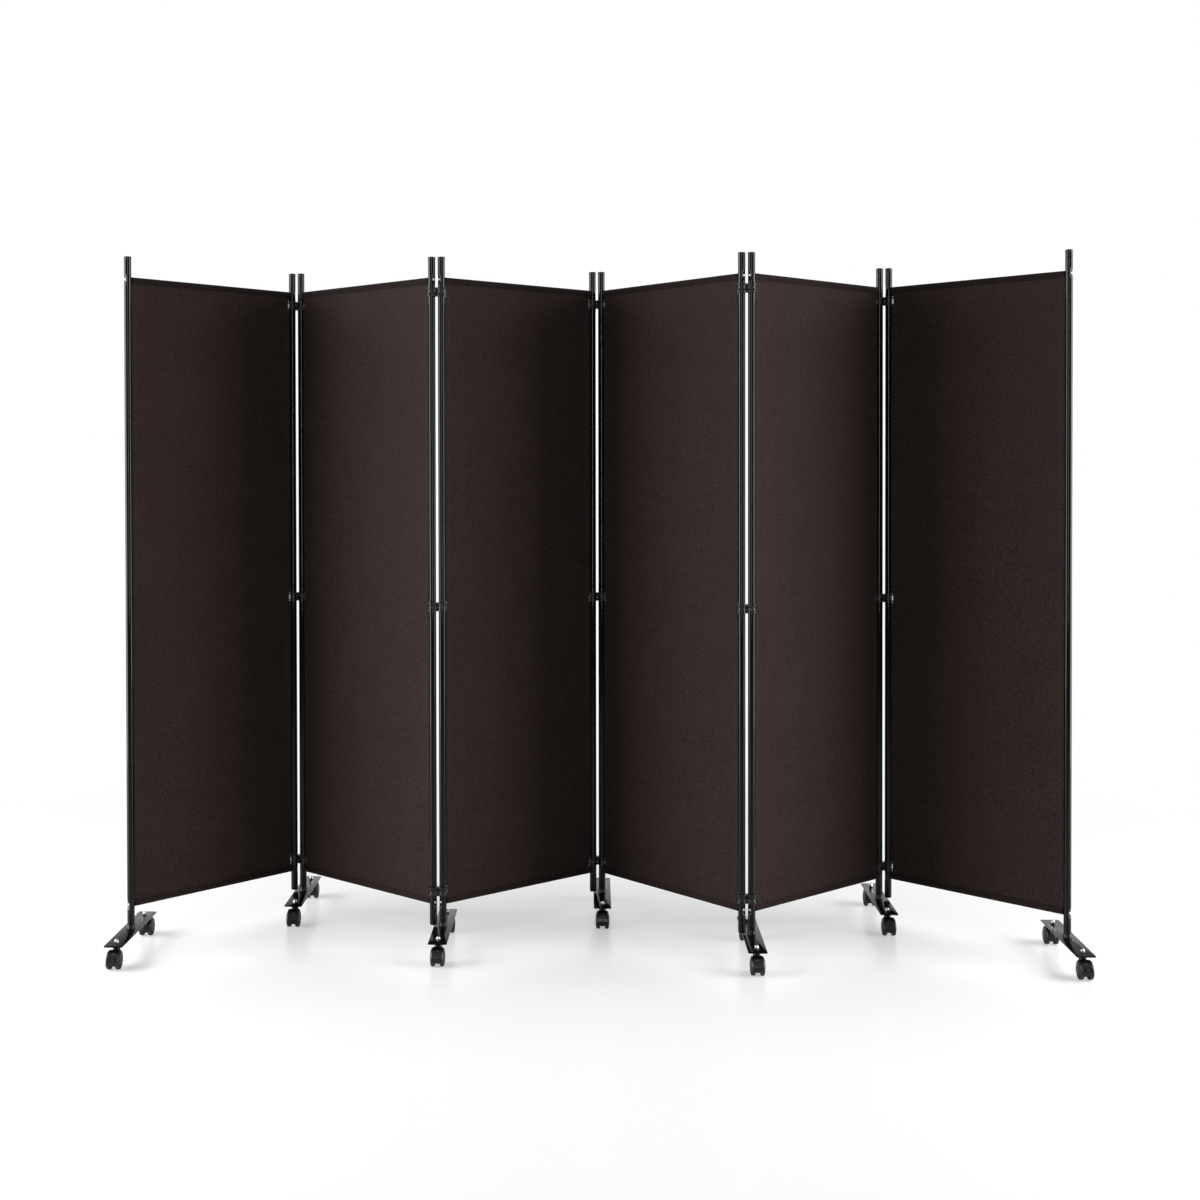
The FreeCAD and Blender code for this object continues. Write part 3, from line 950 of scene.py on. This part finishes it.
def stud_mesh():
    """A caster's stud: a plain neck with a washer face under the plate, and an end that the nut hides."""
    return turned_mesh("caster_stud", "stud_steel", (
        (4.6, 39.5), (5.2, 40.1), (5.25, 49.5), (5.25, 52.9), (6.4, 53.1), (6.6, 53.4), (6.6, 54.5),
        (3.0, 54.5), (3.0, 60.6), (2.6, 61.0),
    ), 32, 40)


def nut_mesh():
    """A cap nut standing on the plate about Z: a chamfered hexagon under a polished dome."""
    shell = Shell()
    flat, height, dome_radius, dome_height = 5.25 * MM, 4.5 * MM, 4.85 * MM, 4.8 * MM
    corner = flat / math.cos(math.pi / 6)
    rows = [
        (flat * 0.97, 0.0), (flat * 0.99, 0.35 * MM), (corner * 0.955, 0.7 * MM), (corner, 1.2 * MM),
        (corner, height - 0.9 * MM), (corner * 0.965, height - 0.45 * MM), (flat * 0.99, height - 0.08 * MM),
        (flat * 0.95, height),
    ]
    for step in range(12):
        turn = math.radians(90 * step / 12)
        rows.append((dome_radius * math.cos(turn), height + dome_height * math.sin(turn)))
    rings = []
    for limit, z in rows:
        points = []
        for angle in circle(60):
            side = flat / math.cos((angle + math.pi / 6) % (math.pi / 3) - math.pi / 6)
            radius = min(side, limit)
            points.append((radius * math.cos(angle), radius * math.sin(angle), PLATE_TOP + z))
        rings.append(shell.ring(points))
    shell.solid(rings)
    return shell.mesh("caster_nut", finish_of("zinc_plate"), 28)


class DIVIDER_OT_feet(bpy.types.Operator):
    """Build the seven foot plates with their studs and nuts"""

    bl_idname = "divider.feet"
    bl_label = "Feet"

    def execute(self, context):
        plate, stud, nut = plate_mesh(), stud_mesh(), nut_mesh()
        for foot in FEET:
            place = upright_place(f"foot_{foot}_turn")
            show(f"foot_plate_{foot}", plate, place, f"foot_{foot}", "foot", f"foot_{foot}")
            for caster in (2 * foot - 1, 2 * foot):
                place = upright_place(f"caster_{caster}_swivel", 0.35 * caster)
                show(f"caster_stud_{caster}", stud, place, f"foot_{foot}", "foot")
                show(f"caster_nut_{caster}", nut, place, f"foot_{foot}")
        return {"FINISHED"}


# Casters


def hood_mesh(casters):
    """A caster's hood: a curved shell with round shoulders and two dimples, its web and its boss."""
    low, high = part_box("caster_1_hood")
    wide = (high.x - low.x) / 2 / MM
    shell = Shell()
    across = spread(-wide, wide, 49)
    # Millimetres from the axle: the shell's crown and inside, and how far its skirts hang below.
    crown, well, hang = 24.2, 22.0, 6.5
    skirt = math.asin(hang / crown)
    round_from, round_drop = 0.72, 1.9
    dimples = [math.radians(angle) for angle in (130, 160)]
    rings = []
    for angle in spread(-skirt, math.pi + skirt, 110):
        lip = min(angle + skirt, math.pi + skirt - angle)
        outer = []
        for x in across:
            shoulder = round_drop * max(0.0, (abs(x) / wide - round_from) / (1 - round_from)) ** 2.2
            radius = crown - shoulder - 0.5 * (1 - ease(lip / 0.05))
            for dimple in dimples:
                gap = math.hypot(x, radius * (angle - dimple)) * MM / casters.dimple_radius
                radius -= casters.dimple_depth / MM * (1 - ease((gap - 0.5) / 0.6))
            outer.append((x, radius))
        inner = [(x, well) for x in reversed(across)]
        rings.append(shell.ring(
            (x * MM, r * math.cos(angle) * MM - AXLE_BEHIND, r * math.sin(angle) * MM + AXLE_HEIGHT)
            for x, r in outer + inner
        ))
    shell.wall(rings)
    # The web between the wheels, round and smaller below the shell.
    web, web_step = 22.6, 7.6
    rings = []
    for x, shrink in ((-6, 0.6), (-5.7, 0.15), (-5.1, 0), (5.1, 0), (5.7, 0.15), (6, 0.6)):
        points = []
        for turn in circle(96):
            radius = web - web_step * ease((-math.sin(turn) - 0.26) / 0.12) - shrink
            points.append((radius * math.cos(turn), radius * math.sin(turn)))
        rings.append(shell.ring((x * MM, y * MM - AXLE_BEHIND, z * MM + AXLE_HEIGHT) for y, z in points))
    shell.solid(rings)
    # The boss round the stud, cut away where the wheels turn.
    rings = []
    rows = [(8.6, 21.0), (9.0, 21.4)] + [(9.0, z) for z in spread(23.0, 43.0, 11)]
    for radius, z in rows + [(9.0, 46.8), (8.7, 47.6), (8.1, 48.0), (5.5, 48.0), (5.3, 47.6), (5.3, 44.0)]:
        back = math.sqrt(max(0.0, (well + 0.4) ** 2 - (z - AXLE_HEIGHT / MM) ** 2)) - AXLE_BEHIND / MM
        rings.append(shell.ring(
            (radius * math.cos(turn) * MM, max(radius * math.sin(turn), back) * MM, z * MM)
            for turn in circle(48)
        ))
    shell.solid(rings)
    return shell.mesh("caster_hood", finish_of("moulded_plastic"), 38)


def wheels_mesh(casters):
    """Both wheels of a caster on their axle: straight treads, domed sides and a hub ring."""
    low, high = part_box("caster_1_wheels")
    outer = (high.x - low.x) / 2 / MM
    dome = casters.dome / MM
    rim = outer - dome
    tyre, hub = 21.0, 8.6

    def swell(radius):
        return rim + dome * (1 - (radius / tyre) ** 3)

    # Half a section, as distances along the axle and from it, in millimetres.
    side = [
        (6.8, 3.0), (6.8, 6.5), (6.5, 7.5), (6.5, 19.0), (6.8, 20.2), (7.5, 20.85), (8.3, tyre),
        (rim - 1.4, tyre), (rim - 0.5, 20.85), (rim + 0.1, 20.4), (rim + 0.5, 19.8), (rim + 0.35, 19.4),
        (rim + 0.35, 18.9),
    ]
    side += [(swell(radius), radius) for radius in (18.5, 17.0, 15.0, 13.0, 11.0, hub)]
    side += [(swell(hub) - 0.5, 8.2), (swell(hub) - 0.5, 7.6), (swell(hub) + 0.05, 7.2)]
    side += [(outer - 0.1, 5.0), (outer, 2.5), (outer, 0.4)]
    profile = [(-x, r) for x, r in reversed(side)] + side
    shell = Shell()
    shell.lathe([(r * MM, x * MM) for x, r in profile], 64)
    turn = Matrix.Translation((0, -AXLE_BEHIND, AXLE_HEIGHT)) @ Matrix.Rotation(math.radians(90), 4, "Y")
    shell.turned(turn)
    return shell.mesh("caster_wheels", finish_of("wheel_plastic"), 38)


class DIVIDER_OT_hoods(bpy.types.Operator):
    """Build the hoods of the fourteen casters"""

    bl_idname = "divider.hoods"
    bl_label = "Caster hoods"

    def execute(self, context):
        hood = hood_mesh(context.scene.divider_casters)
        for caster in CASTERS:
            name = f"caster_{caster}_hood"
            show(f"hood_{caster}", hood, caster_place(caster), f"caster_{caster}", "caster", name)
        return {"FINISHED"}


class DIVIDER_OT_wheels(bpy.types.Operator):
    """Build the wheels of the fourteen casters"""

    bl_idname = "divider.wheels"
    bl_label = "Wheels"

    def execute(self, context):
        wheels = wheels_mesh(context.scene.divider_casters)
        for caster in CASTERS:
            name = f"caster_{caster}_wheels"
            show(f"wheel_pair_{caster}", wheels, caster_place(caster), f"wheels_{caster}", "wheel", name)
        return {"FINISHED"}


# Stage


def floor_finish(stage):
    """A pale floor that keeps soft shadows, fades to white far away, and shows faint reflections."""
    finish = Finish("floor")
    point, (x, y, _) = finish.place()
    grain = finish.cloud(point, 14, 3)
    colour = finish.mix(grain, shade(stage.floor, 0.985), shade(stage.floor, 1.0))
    finish.set(Base_Color=colour, Roughness=0.22, Specular_IOR_Level=0.25)
    seen = finish.add("ShaderNodeLightPath", out="Is Camera Ray")
    # Metres from the middle where the white begins, and before the row where the glow rises a little.
    fade_start, fade_length = 1.45, 1.1
    rise_start, rise_length = 0.35, 0.5
    far = (((x * x + y * y) ** 0.5 - fade_start) / fade_length).clamped()
    near = ((y + rise_start) / -rise_length).clamped()
    glow = {"Color": (1, 1, 1, 1), "Strength": seen * (near * 0.08 + 0.4)}
    lift = finish.add("ShaderNodeEmission", {}, glow)
    white = finish.add("ShaderNodeEmission", {}, {"Color": (1, 1, 1, 1), "Strength": 1.0})
    lit = finish.add("ShaderNodeAddShader", {}, {0: Flow(finish, finish.shader.outputs[0]), 1: lift})
    both = finish.add("ShaderNodeMixShader", {}, {0: far * seen, 1: lit, 2: white})
    output = finish.tree.nodes["Material Output"]
    finish.feed(output.inputs["Surface"], both)
    return finish.material


def room(stage):
    """The world: white where the camera sees it, brighter behind the screen than before it in reflections."""
    world = bpy.data.worlds.new("room")
    bpy.context.scene.world = world
    world.use_nodes = True
    sky = Nodes(world.node_tree)
    rays = ("Is Camera Ray", "Is Glossy Ray", "Is Transmission Ray")
    seen, glossy, passed = (sky.add("ShaderNodeLightPath", out=ray) for ray in rays)
    ahead = sky.parts(sky.add("ShaderNodeTexCoord", out="Generated"))[1]
    behind = (ahead * 2.2 + 0.5).clamped()
    shown = (seen + passed).clamped()
    mirrored = glossy * (behind * 0.87 + 0.03)
    level = shown + (1 - shown) * (mirrored + (1 - glossy) * stage.fill)
    sky.feed(sky.tree.nodes["Background"].inputs["Color"], (1, 1, 1, 1))
    sky.feed(sky.tree.nodes["Background"].inputs["Strength"], level)


def lamp(name, power, place, target, size):
    """A soft rectangular lamp aimed at a point."""
    light = bpy.data.lights.new(name, "AREA")
    light.energy = power
    light.shape = "RECTANGLE"
    light.size, light.size_y = size
    item = bpy.data.objects.new(name, light)
    bpy.context.collection.objects.link(item)
    item.location = place
    item.rotation_euler = (Vector(target) - Vector(place)).to_track_quat("-Z", "Y").to_euler()
    return item


def lights(stage, floor):
    """The room, three soft lamps, and a strip that shows only as thin lines in gloss."""
    room(stage)
    lamp("lamp_left", stage.left_power, (-3.25, -0.75, 1.3), (-0.2, 0, 0.9), (2.3, 2.6))
    lamp("lamp_right", stage.right_power, (3.35, -0.6, 1.3), (0.2, 0, 0.9), (2.1, 2.6))
    lamp("lamp_top", stage.top_power, (0, -2.4, 3.6), (0, 0, 0.3), (4.5, 1.6))
    strip = lamp("lamp_strip", stage.strip_power, (0, -4.4, 1.5), (0, 0, 1.1), (0.35, 2.2))
    strip.visible_diffuse = False
    # The floor would mirror the strip as a glare, so it is left out.
    unlit = bpy.data.collections.new("unlit_by_strip")
    unlit.objects.link(floor)
    unlit.collection_objects[0].light_linking.link_state = "EXCLUDE"
    strip.light_linking.receiver_collection = unlit


def camera_view(stage):
    """The camera, fitted to the ends of the posts in the photograph."""
    place, (yaw, pitch, roll) = (-0.0004, -3.8869, 1.1988), map(math.radians, (2.5137, -0.7463, -0.1147))
    picture_width = 1200
    data = bpy.data.cameras.new("camera")
    data.lens, data.sensor_width = stage.lens, 36
    data.shift_x, data.shift_y = 73.48 / picture_width, -111.12 / picture_width
    data.clip_end = 60
    camera = bpy.data.objects.new("camera", data)
    bpy.context.collection.objects.link(camera)
    side = Vector((math.cos(yaw), math.sin(yaw), 0))
    level = Vector((-math.sin(yaw), math.cos(yaw), 0))
    ahead = level * math.cos(pitch) + Vector((0, 0, math.sin(pitch)))
    over = Vector((0, 0, math.cos(pitch))) - level * math.sin(pitch)
    right = side * math.cos(roll) + over * math.sin(roll)
    upward = over * math.cos(roll) - side * math.sin(roll)
    turn = Matrix((right, upward, -ahead)).transposed().to_4x4()
    camera.matrix_world = Matrix.Translation(place) @ turn
    bpy.context.scene.camera = camera


class DIVIDER_OT_stage(bpy.types.Operator):
    """Build the floor, the light and the camera"""

    bl_idname = "divider.stage"
    bl_label = "Stage"

    def execute(self, context):
        stage = context.scene.divider_stage
        mesh = bpy.data.meshes.new("floor")
        mesh.from_pydata([(-9, -7, 0), (9, -7, 0), (9, 9, 0), (-9, 9, 0)], [], [(0, 1, 2, 3)])
        mesh.materials.append(floor_finish(stage))
        floor = bpy.data.objects.new("floor", mesh)
        context.collection.objects.link(floor)
        lights(stage, floor)
        camera_view(stage)
        context.scene.view_settings.view_transform = "Standard"
        return {"FINISHED"}


# Panel and registration

BUILDERS = (
    DIVIDER_OT_posts,
    DIVIDER_OT_caps,
    DIVIDER_OT_screws,
    DIVIDER_OT_cloth,
    DIVIDER_OT_clips,
    DIVIDER_OT_feet,
    DIVIDER_OT_hoods,
    DIVIDER_OT_wheels,
    DIVIDER_OT_stage,
)
SETTINGS = {
    "divider_colours": DividerColours,
    "divider_posts": DividerPosts,
    "divider_cloth": DividerCloth,
    "divider_casters": DividerCasters,
    "divider_stage": DividerStage,
}


class DIVIDER_PT_builders(bpy.types.Panel):
    """Lists the settings and builders of the room divider"""

    bl_idname = "DIVIDER_PT_builders"
    bl_label = "Room divider"
    bl_space_type = "VIEW_3D"
    bl_region_type = "UI"
    bl_category = "Divider"

    def draw(self, context):
        for name, settings in SETTINGS.items():
            box = self.layout.box()
            for prop in settings.__annotations__:
                box.prop(getattr(context.scene, name), prop)
        for builder in BUILDERS:
            self.layout.operator(builder.bl_idname)


def register():
    for item in (*SETTINGS.values(), *BUILDERS, DIVIDER_PT_builders):
        bpy.utils.register_class(item)
    for name, settings in SETTINGS.items():
        setattr(bpy.types.Scene, name, PointerProperty(type=settings))


def unregister():
    for name in SETTINGS:
        delattr(bpy.types.Scene, name)
    for item in reversed((*SETTINGS.values(), *BUILDERS, DIVIDER_PT_builders)):
        bpy.utils.unregister_class(item)


def main():
    """Registers the add-on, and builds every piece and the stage."""
    register()
    for builder in BUILDERS:
        group, name = builder.bl_idname.split(".")
        getattr(getattr(bpy.ops, group), name)()


if __name__ == "__main__":
    main()
